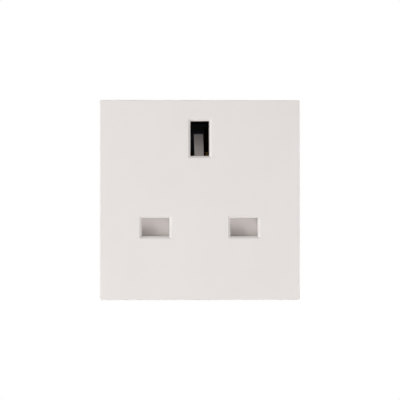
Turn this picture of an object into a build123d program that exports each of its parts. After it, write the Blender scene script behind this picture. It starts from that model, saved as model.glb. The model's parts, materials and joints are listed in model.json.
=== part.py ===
from build123d import *
import os

# A British three-pin socket module, 50 mm square, that snaps into a wall frame from the front.
# Lengths are in millimetres. X runs to the right of someone facing the socket, Y into the wall
# and Z up. The origin is the middle of the front face.

# Pins of the plug, as the standard sets them
PIN_PITCH = 22.2
EARTH_RISE = 22.2
EARTH_PIN_WIDTH = 4.0
EARTH_PIN_HEIGHT = 8.0
EARTH_PIN_LENGTH = 22.7
POWER_PIN_WIDTH = 6.35
POWER_PIN_HEIGHT = 4.0
POWER_PIN_LENGTH = 17.7

# Front plate
FACE_SIDE = 50.0
FACE_CORNER = 0.35
FACE_EDGE = 0.2
FACE_WALL = 2.4
COLLAR = 2.0
FLANGE_DEPTH = 4.0
EARTH_Z = 15.4
EARTH_CLEARANCE = 0.4
POWER_CLEARANCE = 0.3
LEAD_IN = 0.55
SKIRT_SIDE = 45.0
SKIRT_CORNER = 2.0
SKIRT_WALL = 1.6
SKIRT_END = 13.0
RIB = 1.4
BOSS_INSET = 4.1
BOSS_RADIUS = 2.7
BOSS_FLOOR = 1.0

# Snap tongues in the top and the bottom of the skirt
FRAME_WEB = 2.2
TONGUE_X = 9.5
TONGUE_WIDTH = 7.0
TONGUE_SLOT = 0.8
TONGUE_ROOT = 1.5
HOOK_HEIGHT = 1.0
HOOK_LAND = 0.6
FLEX_ROOM = 1.2

# Shutter and its cam ramp
SHUTTER_THICKNESS = 2.4
SHUTTER_PLAY = 0.2
SHUTTER_BACK_PLAY = 0.6
SHUTTER_OVERLAP = 0.4
SHUTTER_MARGIN = 0.8
SHUTTER_STOP_PLAY = 0.1
OPEN_CLEARANCE = 0.5
STEM_WIDTH = 6.0
RAMP_WIDTH = 2.3
RAMP_REACH = 5.0
RAMP_TIP = 0.8
RAMP_FOOT = 0.4
RAMP_PASS = 0.15
GUSSET_DROP = 4.2
GUSSET_RISE = 3.5
GUIDE_PLAY = 0.35

# Shutter spring
SPRING_RADIUS = 1.5
SPRING_WIRE = 0.4
SPRING_WIRE_SIDES = 4
SPRING_TURNS = 7
SPRING_POCKET = 6.9
SPRING_SEAT = 1.4
PEG_RADIUS = 0.85
PEG_LENGTH = 2.5
SPRING_PLAY = 0.3

# Contact cover
COVER_WALL = 1.6
COVER_PLAY = 0.25
WINDOW_CLEARANCE = 0.2
HOLD_POST = 6.0

# Contacts, folded from strip, and the springs behind them
STRIP = 0.8
BEND = 0.6
FORK_LEAD = 1.0
FORK_GRIP = 0.3
FORK_EASE = 0.3
PIN_END_ROOM = 0.7
POWER_FORK_HEIGHT = 4.4
POWER_MOUTH = 1.7
POWER_THROAT = 4.0
EARTH_FORK_HEIGHT = 6.4
EARTH_MOUTH = 3.6
EARTH_THROAT = 7.6
EARTH_ROOT = 2.2
ROOT_PLAY = 0.1
LEAF_ROOM = 0.4
TAB_WIDTH = 5.0
SHELF_WIDTH = 7.0
SHELF_CLEARANCE = 0.4
TAB_DROP = 1.4
SPRING_STRIP = 0.5
SPRING_BEND = 0.8
POWER_SPRING_HEIGHT = 3.0
EARTH_SPRING_HEIGHT = 4.4
SPRING_TOUCH = 0.05
SPRING_EASE = 0.4

# Pillar terminals and their screws
TERMINAL_X = 11.1
EARTH_TERMINAL_SIDE = -1
BLOCK_WIDTH = 7.6
BLOCK_DEPTH = 7.8
BLOCK_HEIGHT = 7.8
BLOCK_FRONT = 14.0
BLOCK_EDGE = 0.3
BLOCK_PLAY = 0.15
WIRE_RADIUS = 2.3
WIRE_WALL = 1.2
WIRE_FLOOR = 1.4
RIVET_RADIUS = 1.25
RIVET_HEAD_RADIUS = 1.8
RIVET_HEAD = 0.5
RIVET_INSET = 2.1
RIVET_PLAY = 0.05
SCREW_RADIUS = 1.75
SCREW_LENGTH = 6.0
SCREW_HEAD_RADIUS = 2.8
SCREW_HEAD = 1.8
SCREW_DROP = 3.5
SCREW_PLAY = 0.05
SCREW_TIP = 0.4
DRIVER_SLOT = 1.0
DRIVER_DEPTH = 0.9
ACCESS_PLAY = 0.3

# Rear housing
HOUSING_BACK = 29.0
HOUSING_EDGE = 0.8
SPIGOT_PLAY = 0.15
HOUSING_WALL = 1.4
REAR_WALL = 2.0
ENTRY_RADIUS = 2.6
ENTRY_FUNNEL = 0.8
FUNNEL_SLOPE = 40.0
COLUMN_FLOOR = 4.8

# Screws through the housing corners into the front plate
TAPPING_RADIUS = 1.45
TAPPING_LENGTH = 8.0
TAPPING_HEAD_RADIUS = 2.4
TAPPING_HEAD = 1.6
TAPPING_PLAY = 0.05
TAPPING_PASS = 0.15
HEAD_PLAY = 0.2

# Places and sizes that follow
POWER_X = PIN_PITCH / 2
POWER_Z = EARTH_Z - EARTH_RISE
EARTH_HOLE_WIDTH = EARTH_PIN_WIDTH + 2 * EARTH_CLEARANCE
EARTH_HOLE_HEIGHT = EARTH_PIN_HEIGHT + 2 * EARTH_CLEARANCE
POWER_HOLE_WIDTH = POWER_PIN_WIDTH + 2 * POWER_CLEARANCE
POWER_HOLE_HEIGHT = POWER_PIN_HEIGHT + 2 * POWER_CLEARANCE
SKIRT_HALF = SKIRT_SIDE / 2
CAVITY_SIDE = SKIRT_SIDE - 2 * SKIRT_WALL
CAVITY_HALF = CAVITY_SIDE / 2
BOSS_AT = SKIRT_HALF - BOSS_INSET
HOOK_FRONT = FLANGE_DEPTH + FRAME_WEB
TONGUE_END = SKIRT_END - TONGUE_ROOT
FLEX_FLOOR = CAVITY_HALF - FLEX_ROOM

COLLAR_BACK = FACE_WALL + COLLAR
SHUTTER_FRONT = COLLAR_BACK + SHUTTER_PLAY
SHUTTER_BACK = SHUTTER_FRONT + SHUTTER_THICKNESS
COVER_FRONT = SHUTTER_BACK + SHUTTER_BACK_PLAY
COVER_BACK = COVER_FRONT + COVER_WALL
COVER_HALF = CAVITY_HALF - COVER_PLAY
BLADE_TOP = POWER_Z + POWER_HOLE_HEIGHT / 2 + SHUTTER_OVERLAP
BLADE_BOTTOM = POWER_Z - POWER_HOLE_HEIGHT / 2 - SHUTTER_MARGIN
BLADE_HALF = POWER_X + POWER_HOLE_WIDTH / 2 + SHUTTER_MARGIN
TRAVEL = POWER_HOLE_HEIGHT + SHUTTER_OVERLAP + OPEN_CLEARANCE
STEM_HALF = STEM_WIDTH / 2
RAMP_LOW = EARTH_Z - EARTH_HOLE_HEIGHT / 2 - RAMP_FOOT
RAMP_HIGH = EARTH_Z - EARTH_PIN_HEIGHT / 2 - RAMP_PASS + TRAVEL
RAMP_BACK = SHUTTER_FRONT + RAMP_REACH + RAMP_TIP
GUSSET_LOW = RAMP_LOW - GUSSET_DROP

SPRING_Y = (SHUTTER_FRONT + SHUTTER_BACK) / 2
SPRING_LOW = -CAVITY_HALF + SPRING_SEAT
SPRING_HIGH = BLADE_BOTTOM + SPRING_POCKET
SPRING_SLOT = SPRING_RADIUS + SPRING_PLAY

POWER_WEB = POWER_PIN_LENGTH + PIN_END_ROOM
EARTH_BACK = EARTH_PIN_LENGTH + PIN_END_ROOM
POWER_FLOOR = POWER_WEB + STRIP + SPRING_STRIP
EARTH_SPRING_SEAT = EARTH_BACK + ROOT_PLAY
EARTH_FLOOR = EARTH_SPRING_SEAT + SPRING_STRIP
EARTH_WALL = EARTH_PIN_WIDTH / 2 + FORK_EASE + STRIP / 2
POWER_ROOM = POWER_PIN_WIDTH / 2 + FORK_LEAD + STRIP + LEAF_ROOM
EARTH_ROOM = EARTH_PIN_WIDTH / 2 + FORK_LEAD + STRIP + LEAF_ROOM
POWER_ROOM_HEIGHT = POWER_FORK_HEIGHT + 2 * WINDOW_CLEARANCE
EARTH_SEAT = EARTH_Z - EARTH_PIN_HEIGHT / 2 - SHELF_CLEARANCE
POWER_SEAT = POWER_Z - POWER_PIN_HEIGHT / 2 - TAB_DROP - STRIP
EARTH_TERMINAL_X = EARTH_TERMINAL_SIDE * TERMINAL_X
BLOCK_BACK = BLOCK_FRONT + BLOCK_DEPTH
WIRE_Y = BLOCK_FRONT + WIRE_WALL + WIRE_RADIUS
RIVET_Y = BLOCK_FRONT + RIVET_INSET
SHELF_FRONT = BLOCK_FRONT - SHELF_CLEARANCE
SCREW_POINT = WIRE_Y + WIRE_RADIUS + SCREW_PLAY
ACCESS_RADIUS = SCREW_HEAD_RADIUS + ACCESS_PLAY

SPIGOT_SIDE = CAVITY_SIDE - 2 * SPIGOT_PLAY
CORE_BACK = HOUSING_BACK - REAR_WALL
COLUMN_SEAT = COVER_BACK + COLUMN_FLOOR

SIDES = (-1, 1)


def span(x0, x1, y0, y1, z0, z1):
    """A block given by its limits."""
    middle = Pos((x0 + x1) / 2, (y0 + y1) / 2, (z0 + z1) / 2)
    return middle * Box(abs(x1 - x0), abs(y1 - y0), abs(z1 - z0))


def prism(width, height, front, back, x=0.0, z=0.0, corner=0.0):
    """A block with rounded corners across X and Z, drawn at the front and run back along Y."""
    plane = Plane((x, front, z), x_dir=(-1, 0, 0), z_dir=(0, 1, 0))
    outline = RectangleRounded(width, height, corner) if corner else Rectangle(width, height)
    return extrude(plane * outline, amount=back - front)


def along_y(radius, front, back, x, z):
    """A round bar that lies along Y."""
    return Pos(x, (front + back) / 2, z) * Rot(90, 0, 0) * Cylinder(radius, back - front)


def along_z(radius, low, high, x, y):
    """A round bar that stands along Z."""
    return Pos(x, y, (low + high) / 2) * Cylinder(radius, high - low)


def side_cut(points, width, x=0.0):
    """A profile drawn in Y and Z, run across X and centred on x."""
    profile = make_face(Polyline(*points, close=True))
    return Pos(x, 0, 0) * extrude(Plane.YZ * profile, amount=width / 2, both=True)


def mirrored(points):
    """The points of a right-hand half outline, followed by those of its left-hand half."""
    return points + [(-u, v) for u, v in reversed(points)]


def flat(points, front, back):
    """A profile drawn in X and Z at the front and run back along Y."""
    profile = make_face(Polyline(*points, close=True))
    return extrude(Plane((0, front, 0), x_dir=(1, 0, 0), z_dir=(0, -1, 0)) * profile, amount=front - back)


def turned(points, x, z):
    """A profile of radii and depths, spun about a line along Y."""
    profile = make_face(Polyline(*points, close=True))
    return Pos(x, 0, z) * revolve(profile, Axis.Y)


def folded(points, radius, thickness, width, plane):
    """A strip folded along the line through the points, centred on the plane."""
    section = trace(FilletPolyline(*points, radius=radius), line_width=thickness)
    return extrude(plane * section, amount=width / 2, both=True)


def corners():
    """The places of the housing screws, in two opposite corners."""
    return [(side * BOSS_AT, side * BOSS_AT) for side in SIDES]


def tongue(x, side):
    """Cut and hook of one snap tongue; side is 1 at the top and -1 at the bottom."""
    outer = side * (SKIRT_HALF + SKIRT_WALL)
    inner = side * (CAVITY_HALF - SKIRT_WALL)
    half = TONGUE_WIDTH / 2
    cut = span(x - half - TONGUE_SLOT, x + half + TONGUE_SLOT, FLANGE_DEPTH, HOOK_FRONT, inner, outer)
    for way in SIDES:
        edge = x + way * half
        cut += span(edge, edge + way * TONGUE_SLOT, FLANGE_DEPTH, TONGUE_END, inner, outer)
    foot = side * (SKIRT_HALF - SKIRT_WALL / 2)
    tip = side * (SKIRT_HALF + HOOK_HEIGHT)
    skin = side * SKIRT_HALF
    profile = [
        (HOOK_FRONT, foot),
        (HOOK_FRONT, tip),
        (HOOK_FRONT + HOOK_LAND, tip),
        (TONGUE_END, skin),
        (TONGUE_END, foot),
    ]
    return cut, side_cut(profile, TONGUE_WIDTH, x)


def pin_holes():
    """Width, height and place in X and Z of the three holes in the face."""
    holes = [(EARTH_HOLE_WIDTH, EARTH_HOLE_HEIGHT, 0, EARTH_Z)]
    for side in SIDES:
        holes.append((POWER_HOLE_WIDTH, POWER_HOLE_HEIGHT, side * POWER_X, POWER_Z))
    return holes


def front_plate():
    """White face with its collared holes, flange, skirt, snap tongues and shutter guides."""
    face = prism(FACE_SIDE, FACE_SIDE, 0, FLANGE_DEPTH, corner=FACE_CORNER)
    face = fillet(face.faces().sort_by(Axis.Y)[0].edges(), FACE_EDGE)
    body = face + prism(SKIRT_SIDE, SKIRT_SIDE, FLANGE_DEPTH, SKIRT_END, corner=SKIRT_CORNER)
    inner_corner = SKIRT_CORNER - SKIRT_WALL
    body -= prism(CAVITY_SIDE, CAVITY_SIDE, FACE_WALL, SKIRT_END, corner=inner_corner)
    for x in (-TONGUE_X, TONGUE_X):
        for side in SIDES:
            cut, hook = tongue(x, side)
            body = body - cut + hook
    for x, z in corners():
        body += along_y(BOSS_RADIUS, FACE_WALL, COVER_BACK, x, z)
    body += shutter_guides()
    for x, z in corners():
        body -= along_y(TAPPING_RADIUS + TAPPING_PLAY, FACE_WALL + BOSS_FLOOR, COVER_BACK, x, z)
    for width, height, x, z in pin_holes():
        body += prism(width + 2 * RIB, height + 2 * RIB, FACE_WALL, COLLAR_BACK, x, z)
        body -= prism(width, height, 0, COLLAR_BACK, x, z)
    rims = body.faces().sort_by(Axis.Y)[0].inner_wires()
    return chamfer([edge for rim in rims for edge in rim.edges()], LEAD_IN)


def shutter_guides():
    """Ribs behind the face that guide the shutter, stop it and seat its spring."""
    front, back = FACE_WALL, COVER_FRONT
    stem = STEM_HALF + SHUTTER_PLAY
    end = BLADE_HALF + SHUTTER_PLAY
    stop = BLADE_BOTTOM - TRAVEL - SHUTTER_STOP_PLAY
    ribs = span(-SPRING_SLOT - RIB, SPRING_SLOT + RIB, front, back, -CAVITY_HALF, SPRING_LOW)
    ribs += along_z(PEG_RADIUS, SPRING_LOW, SPRING_LOW + PEG_LENGTH, 0, SPRING_Y)
    for side in SIDES:
        rise = (BLADE_TOP + SHUTTER_STOP_PLAY, RAMP_LOW - RIB)
        ribs += span(side * stem, side * (stem + RIB), front, back, *rise)
        ribs += span(side * end, side * (end + RIB), front, back, stop, BLADE_TOP + RIB)
        inner = side * (POWER_X - POWER_HOLE_WIDTH / 2)
        ribs += span(inner, inner + side * RIB, front, back, -CAVITY_HALF, stop)
    return ribs


def shutter():
    """White T that covers the line and neutral holes, with the ramp that the earth pin pushes."""
    front, back = SHUTTER_FRONT, SHUTTER_BACK
    right = [
        (SPRING_SLOT, SPRING_HIGH),
        (SPRING_SLOT, BLADE_BOTTOM),
        (BLADE_HALF, BLADE_BOTTOM),
        (BLADE_HALF, BLADE_TOP),
        (STEM_HALF, BLADE_TOP),
        (STEM_HALF, RAMP_LOW),
    ]
    body = flat(mirrored(right), front, back)
    body += along_z(PEG_RADIUS, SPRING_HIGH - PEG_LENGTH, SPRING_HIGH, 0, SPRING_Y)
    ramp = [
        (front, RAMP_LOW),
        (front + RAMP_REACH, RAMP_HIGH),
        (RAMP_BACK, RAMP_HIGH),
        (RAMP_BACK, GUSSET_LOW + GUSSET_RISE),
        (back, GUSSET_LOW),
        (front, GUSSET_LOW),
    ]
    return body + side_cut(ramp, RAMP_WIDTH)


def shutter_spring():
    """Compression coil of fine wire, drawn with a square section, its two ends ground flat."""
    length = SPRING_HIGH - SPRING_LOW
    pitch = length / SPRING_TURNS
    radius = SPRING_RADIUS - SPRING_WIRE / 2
    path = Helix(pitch=pitch, height=length + pitch, radius=radius)
    wire = Plane(origin=path @ 0, z_dir=path % 0) * RegularPolygon(SPRING_WIRE / 2, SPRING_WIRE_SIDES)
    coil = Pos(0, SPRING_Y, SPRING_LOW - pitch / 2) * sweep(wire, path=path, is_frenet=True)
    reach = 2 * SPRING_RADIUS
    return coil & span(-reach, reach, SPRING_Y - reach, SPRING_Y + reach, SPRING_LOW, SPRING_HIGH)


def corner_notches(front, back):
    """Clearance for the screw bosses of the front plate."""
    radius = BOSS_RADIUS + COVER_PLAY
    size = 4 * radius
    shift = size / 2 - radius
    notches = []
    for x, z in corners():
        sign_x, sign_z = x / BOSS_AT, z / BOSS_AT
        notches.append(prism(size, size, front, back, x + sign_x * shift, z + sign_z * shift, radius))
    return notches


def tongue_notches(front, back):
    """Room behind the four snap tongues."""
    half = TONGUE_WIDTH / 2 + TONGUE_SLOT
    notches = []
    for x in (-TONGUE_X, TONGUE_X):
        for side in SIDES:
            edge = side * FLEX_FLOOR
            notches.append(span(x - half, x + half, front, back, edge, side * SKIRT_HALF))
    return notches


def terminals():
    """Place of each terminal: x, the level of its shelf, and the way its wire bore opens."""
    return {
        "line": (POWER_X, POWER_SEAT, -1),
        "neutral": (-POWER_X, POWER_SEAT, -1),
        "earth": (EARTH_TERMINAL_X, EARTH_SEAT, 1),
    }


def contact_cover():
    """Black plate behind the shutter, with pin windows and posts that hold the terminals."""
    front, back = COVER_FRONT, COVER_BACK
    body = prism(2 * COVER_HALF, 2 * COVER_HALF, front, back)
    for notch in corner_notches(front, back) + tongue_notches(front, back):
        body -= notch
    gap = 2 * WINDOW_CLEARANCE
    for width, height, x, z in pin_holes():
        body -= prism(width + gap, height + gap, front, back, x, z)
    slot = RAMP_WIDTH / 2 + GUIDE_PLAY
    body -= span(-slot, slot, front, back, GUSSET_LOW - TRAVEL - GUIDE_PLAY, EARTH_Z)
    for x, seat, way in terminals().values():
        z = seat + way * BLOCK_HEIGHT / 2
        body += prism(HOLD_POST, HOUSING_WALL, back, BLOCK_FRONT, x=x, z=z)
        body += prism(HOUSING_WALL, HOLD_POST, back, BLOCK_FRONT, x=x, z=z)
    return body


def rear_housing():
    """Black box behind the front plate, with the contact pockets and the wire entries."""
    body = prism(SPIGOT_SIDE, SPIGOT_SIDE, COVER_BACK, SKIRT_END)
    rear = prism(SKIRT_SIDE, SKIRT_SIDE, SKIRT_END, HOUSING_BACK, corner=SKIRT_CORNER)
    body += chamfer(rear.faces().sort_by(Axis.Y)[-1].edges(), HOUSING_EDGE)
    for notch in tongue_notches(COVER_BACK, SKIRT_END):
        body -= notch
    for pocket in contact_pockets() + core_pockets():
        body -= pocket
    for x, seat, way in terminals().values():
        screw_z = seat + way * (BLOCK_HEIGHT - SCREW_DROP)
        body -= along_y(ACCESS_RADIUS, BLOCK_BACK, HOUSING_BACK, x, screw_z)
        body -= wire_entry(x, seat + way * BLOCK_HEIGHT, way)
    for x, z in corners():
        body -= along_y(TAPPING_RADIUS + TAPPING_PASS, COVER_BACK, COLUMN_SEAT, x, z)
        body -= along_y(TAPPING_HEAD_RADIUS + HEAD_PLAY, COLUMN_SEAT, HOUSING_BACK, x, z)
    return body


def wire_entry(x, start, way):
    """Hole from a terminal pocket to the open air, with a square funnel at its mouth."""
    low, high = sorted((start, way * SKIRT_HALF))
    hole = along_z(ENTRY_RADIUS, low, high, x, WIRE_Y)
    mouth = Plane((x, WIRE_Y, way * SKIRT_HALF), x_dir=(1, 0, 0), z_dir=(0, 0, -way))
    side = 2 * (ENTRY_RADIUS + ENTRY_FUNNEL)
    return hole + extrude(mouth * Rectangle(side, side), amount=ENTRY_FUNNEL, taper=FUNNEL_SLOPE)


def contact_pockets():
    """Pockets, open to the front, that take the contacts and the terminals staked to them."""
    front = COVER_BACK
    hole = EARTH_HOLE_HEIGHT / 2
    tab = TAB_WIDTH / 2 + WINDOW_CLEARANCE
    channel = EARTH_WALL + STRIP / 2 + WINDOW_CLEARANCE
    block = BLOCK_WIDTH / 2 + BLOCK_PLAY
    earth_low = EARTH_SEAT - STRIP - BLOCK_PLAY
    reach = EARTH_TERMINAL_X + EARTH_TERMINAL_SIDE * block
    pockets = [
        span(-EARTH_ROOM, EARTH_ROOM, front, EARTH_FLOOR, EARTH_Z - hole, EARTH_Z + hole),
        span(-EARTH_TERMINAL_SIDE * channel, reach, front, EARTH_FLOOR, earth_low, EARTH_Z - hole),
    ]
    head = RIVET_HEAD_RADIUS + BLOCK_PLAY
    head_limits = (EARTH_TERMINAL_X - head, EARTH_TERMINAL_X + head)
    pockets.append(span(*head_limits, front, RIVET_Y + head, earth_low - RIVET_HEAD, earth_low))
    slot = RAMP_WIDTH / 2 + GUIDE_PLAY
    slot_low = GUSSET_LOW - TRAVEL - GUIDE_PLAY
    pockets.append(span(-slot, slot, front, RAMP_BACK + GUIDE_PLAY, slot_low, EARTH_Z))
    room = POWER_ROOM_HEIGHT / 2
    for side in SIDES:
        x = side * POWER_X
        rise = (POWER_Z - room, POWER_Z + room)
        pockets.append(span(x - POWER_ROOM, x + POWER_ROOM, front, POWER_FLOOR, *rise))
        pockets.append(span(x - tab, x + tab, front, POWER_FLOOR, POWER_SEAT, POWER_Z - room))
    for x, seat, way in terminals().values():
        far = seat + way * (BLOCK_HEIGHT + BLOCK_PLAY)
        pockets.append(span(x - block, x + block, front, BLOCK_BACK, seat, far))
    return pockets


def core_pockets():
    """Hollows, open to the front, that keep the moulded walls even."""
    front, back = COVER_BACK, CORE_BACK
    middle = POWER_X - POWER_ROOM - HOUSING_WALL
    high = EARTH_SEAT - STRIP - RIVET_HEAD - BLOCK_PLAY - HOUSING_WALL
    low = POWER_Z + POWER_ROOM_HEIGHT / 2 + HOUSING_WALL
    outer = FLEX_FLOOR - HOUSING_WALL
    cores = [span(-middle, middle, front, back, -outer, high)]
    for side in SIDES:
        cores.append(span(side * (middle + HOUSING_WALL), side * outer, front, back, low, high))
    free = -EARTH_TERMINAL_SIDE
    column = BOSS_AT - TAPPING_HEAD_RADIUS - HEAD_PLAY - HOUSING_WALL
    near = free * (EARTH_ROOM + HOUSING_WALL)
    cores.append(span(near, free * column, front, back, high + HOUSING_WALL, outer))
    return cores


def leaf(pin_width, mouth, throat):
    """Line of a leaf from its flared mouth to the throat, where it grips the side of a pin."""
    half = pin_width / 2 + STRIP / 2
    return [(half + FORK_LEAD, COVER_BACK + mouth), (half - FORK_GRIP, COVER_BACK + throat)]


def rivet_hole(x, low, high):
    """Hole in a shelf for the terminal's rivet."""
    return along_z(RIVET_RADIUS + RIVET_PLAY, low, high, x, RIVET_Y)


def power_contact(side):
    """Line or neutral contact: a fork, and a tab from its web folded forward as a terminal shelf."""
    x = side * POWER_X
    shift = STRIP / 2
    back = POWER_WEB + shift
    level = POWER_SEAT + shift
    root = (POWER_PIN_WIDTH / 2 + FORK_EASE + shift, back)
    line = leaf(POWER_PIN_WIDTH, POWER_MOUTH, POWER_THROAT) + [root]
    fork = folded(mirrored(line), BEND, STRIP, POWER_FORK_HEIGHT, Plane.XY)
    tab = [(back, POWER_Z), (back, level), (SHELF_FRONT, level)]
    body = Pos(x, 0, POWER_Z) * fork + Pos(x, 0, 0) * folded(tab, BEND, STRIP, TAB_WIDTH, Plane.YZ)
    return body - rivet_hole(x, POWER_SEAT - STRIP, POWER_SEAT + 2 * STRIP)


def earth_contact():
    """Earth contact: a channel with two leaves that reach forward, and a shelf under the terminal."""
    low, high = EARTH_SEAT - STRIP, EARTH_SEAT
    level = EARTH_SEAT - STRIP / 2
    top = EARTH_Z + EARTH_FORK_HEIGHT / 2
    root = EARTH_BACK - EARTH_ROOT
    across = Plane.XZ.offset(EARTH_ROOT / 2 - EARTH_BACK)
    body = folded(mirrored([(EARTH_WALL, top), (EARTH_WALL, level)]), BEND, STRIP, EARTH_ROOT, across)
    line = leaf(EARTH_PIN_WIDTH, EARTH_MOUTH, EARTH_THROAT) + [(EARTH_WALL, root), (EARTH_WALL, EARTH_BACK)]
    for side in SIDES:
        points = [(side * x, y) for x, y in line]
        body += Pos(0, 0, EARTH_Z) * folded(points, BEND, STRIP, EARTH_FORK_HEIGHT, Plane.XY)
    body += span(-TAB_WIDTH / 2, TAB_WIDTH / 2, SHELF_FRONT, root, low, high)
    tip = EARTH_TERMINAL_X + EARTH_TERMINAL_SIDE * BLOCK_WIDTH / 2
    body += span(0, tip, SHELF_FRONT, SHELF_FRONT + SHELF_WIDTH, low, high)
    return body - rivet_hole(EARTH_TERMINAL_X, low - STRIP, high + STRIP)


def grip_spring(pin_width, throat, seat, height, x, z):
    """Steel U round the back of a contact that presses its leaves together at the throat."""
    half = pin_width / 2 + STRIP + SPRING_STRIP / 2
    outline = [
        (half - FORK_GRIP + SPRING_TOUCH, COVER_BACK + throat),
        (half + FORK_EASE + SPRING_EASE, seat + SPRING_STRIP / 2),
    ]
    return Pos(x, 0, z) * folded(mirrored(outline), SPRING_BEND, SPRING_STRIP, height, Plane.XY)


def terminal(x, seat, way):
    """Brass pillar: wire bore, screw hole, and the rivet that stakes it to its shelf."""
    end = seat + way * BLOCK_HEIGHT
    half = BLOCK_WIDTH / 2
    body = span(x - half, x + half, BLOCK_FRONT, BLOCK_BACK, seat, end)
    body = chamfer(body.edges(), BLOCK_EDGE)
    low, high = sorted((seat + way * WIRE_FLOOR, end))
    body -= along_z(WIRE_RADIUS, low, high, x, WIRE_Y)
    screw_z = end - way * SCREW_DROP
    body -= along_y(SCREW_RADIUS + SCREW_PLAY, WIRE_Y, BLOCK_BACK, x, screw_z)
    shank = sorted((seat, seat - way * STRIP))
    head = sorted((seat - way * STRIP, seat - way * (STRIP + RIVET_HEAD)))
    body += along_z(RIVET_RADIUS, *shank, x, RIVET_Y)
    return body + along_z(RIVET_HEAD_RADIUS, *head, x, RIVET_Y)


def terminal_screw(x, seat, way):
    """Slotted clamping screw, backed out so that the wire bore is free."""
    z = seat + way * (BLOCK_HEIGHT - SCREW_DROP)
    neck = SCREW_POINT + SCREW_LENGTH
    top = neck + SCREW_HEAD
    outline = [
        (0, SCREW_POINT),
        (SCREW_RADIUS - SCREW_TIP, SCREW_POINT),
        (SCREW_RADIUS, SCREW_POINT + SCREW_TIP),
        (SCREW_RADIUS, neck),
        (SCREW_HEAD_RADIUS, neck),
        (SCREW_HEAD_RADIUS, top),
        (0, top),
    ]
    reach = 2 * SCREW_HEAD_RADIUS
    slot = span(x - reach, x + reach, top - DRIVER_DEPTH, top, z - DRIVER_SLOT / 2, z + DRIVER_SLOT / 2)
    return turned(outline, x, z) - slot


def housing_screws():
    """Two self-tapping screws at the bottoms of the housing's corner wells."""
    top = COLUMN_SEAT + TAPPING_HEAD
    point = COLUMN_SEAT - TAPPING_LENGTH
    outline = [
        (0, point),
        (TAPPING_RADIUS, point),
        (TAPPING_RADIUS, COLUMN_SEAT),
        (TAPPING_HEAD_RADIUS, COLUMN_SEAT),
        (TAPPING_HEAD_RADIUS, top),
        (0, top),
    ]
    return Compound(children=[turned(outline, x, z) for x, z in corners()])


def build():
    """Every node of the module by name."""
    nodes = {
        "front_plate": front_plate(),
        "shutter": shutter(),
        "shutter_spring": shutter_spring(),
        "contact_cover": contact_cover(),
        "rear_housing": rear_housing(),
        "line_contact": power_contact(1),
        "neutral_contact": power_contact(-1),
        "earth_contact": earth_contact(),
        "housing_screws": housing_screws(),
    }
    power = (POWER_PIN_WIDTH, POWER_THROAT, POWER_WEB + STRIP, POWER_SPRING_HEIGHT)
    earth = (EARTH_PIN_WIDTH, EARTH_THROAT, EARTH_SPRING_SEAT, EARTH_SPRING_HEIGHT)
    nodes["line_grip_spring"] = grip_spring(*power, POWER_X, POWER_Z)
    nodes["neutral_grip_spring"] = grip_spring(*power, -POWER_X, POWER_Z)
    nodes["earth_grip_spring"] = grip_spring(*earth, 0, EARTH_Z)
    for name, place in terminals().items():
        nodes[name + "_terminal"] = terminal(*place)
        nodes[name + "_terminal_screw"] = terminal_screw(*place)
    return nodes


os.makedirs("parts", exist_ok=True)
for name, shape in build().items():
    export_step(shape, os.path.join("parts", name + ".step"))
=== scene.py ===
"""Looks of a British three-pin socket module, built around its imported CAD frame.

The classes follow the module as it comes apart on a bench: front plate, shutter with its spring,
contacts, terminals with their screws, and rear housing. The frame gives every place in metres, with
X to the right of someone facing the socket, Y into the wall and Z up.
"""

import json
import logging
import math
from dataclasses import dataclass, field
from enum import Enum
from typing import Any

import bmesh
import bpy
from mathutils import Matrix, Vector

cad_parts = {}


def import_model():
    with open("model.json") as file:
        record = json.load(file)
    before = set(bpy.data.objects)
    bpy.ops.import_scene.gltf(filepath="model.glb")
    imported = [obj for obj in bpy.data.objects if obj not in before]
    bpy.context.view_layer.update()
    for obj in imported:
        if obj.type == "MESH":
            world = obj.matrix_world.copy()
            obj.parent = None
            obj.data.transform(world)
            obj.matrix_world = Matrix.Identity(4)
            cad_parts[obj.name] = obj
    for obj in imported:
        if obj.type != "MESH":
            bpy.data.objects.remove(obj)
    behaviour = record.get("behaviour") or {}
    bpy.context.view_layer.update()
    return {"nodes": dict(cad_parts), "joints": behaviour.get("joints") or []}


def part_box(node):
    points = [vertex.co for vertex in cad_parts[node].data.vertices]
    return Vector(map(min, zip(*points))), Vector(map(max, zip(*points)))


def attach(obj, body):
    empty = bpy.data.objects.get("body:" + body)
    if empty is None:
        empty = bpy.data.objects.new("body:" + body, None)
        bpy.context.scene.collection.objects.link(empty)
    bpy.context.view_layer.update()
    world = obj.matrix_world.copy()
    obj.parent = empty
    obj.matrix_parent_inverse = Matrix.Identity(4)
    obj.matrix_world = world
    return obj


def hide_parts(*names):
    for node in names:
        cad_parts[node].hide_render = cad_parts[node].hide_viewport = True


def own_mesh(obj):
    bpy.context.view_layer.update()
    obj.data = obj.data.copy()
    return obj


LOG = logging.getLogger("socket_module")
MM = 0.001
MODULE_BODY = "module"
SHUTTER_JOINT = "shutter_slide"
WHITE = (1.0, 1.0, 1.0, 1.0)

# Sockets of the Mix node that carry colours; it has others of the same names for numbers and vectors.
MIX_FIRST = 6
MIX_SECOND = 7
MIX_RESULT = 2

# Octaves of the noise that draws each pattern, and the rays that round an edge.
GRAIN_DETAIL = 3.0
FLOW_DETAIL = 2.0
LINE_DETAIL = 2.0
TARNISH_DETAIL = 3.0
BEVEL_SAMPLES = 6
# Rolling and drawing lines are this much longer than they are wide.
LINE_STRETCH = 25.0

# Divisions of the coil spring and of the floor.
COIL_STEPS = 40
WIRE_SIDES = 12
COIL_CREASE_DEG = 50.0
FLOOR_SEGMENTS = 96

# Divisions of a screw. Its sheets are one unit wide, and only their end rows lie past SHEET_LAST.
SCREW_SEGMENTS = 48
SHANK_ROWS = 150
HEAD_ROWS = 26
SHEET_HALF = 0.5
SHEET_LAST = 0.499
SCREW_CREASE_DEG = 32.0
# Points this close, in metres, become one where a screw's sheets meet.
MERGE = 1e-6

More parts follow.
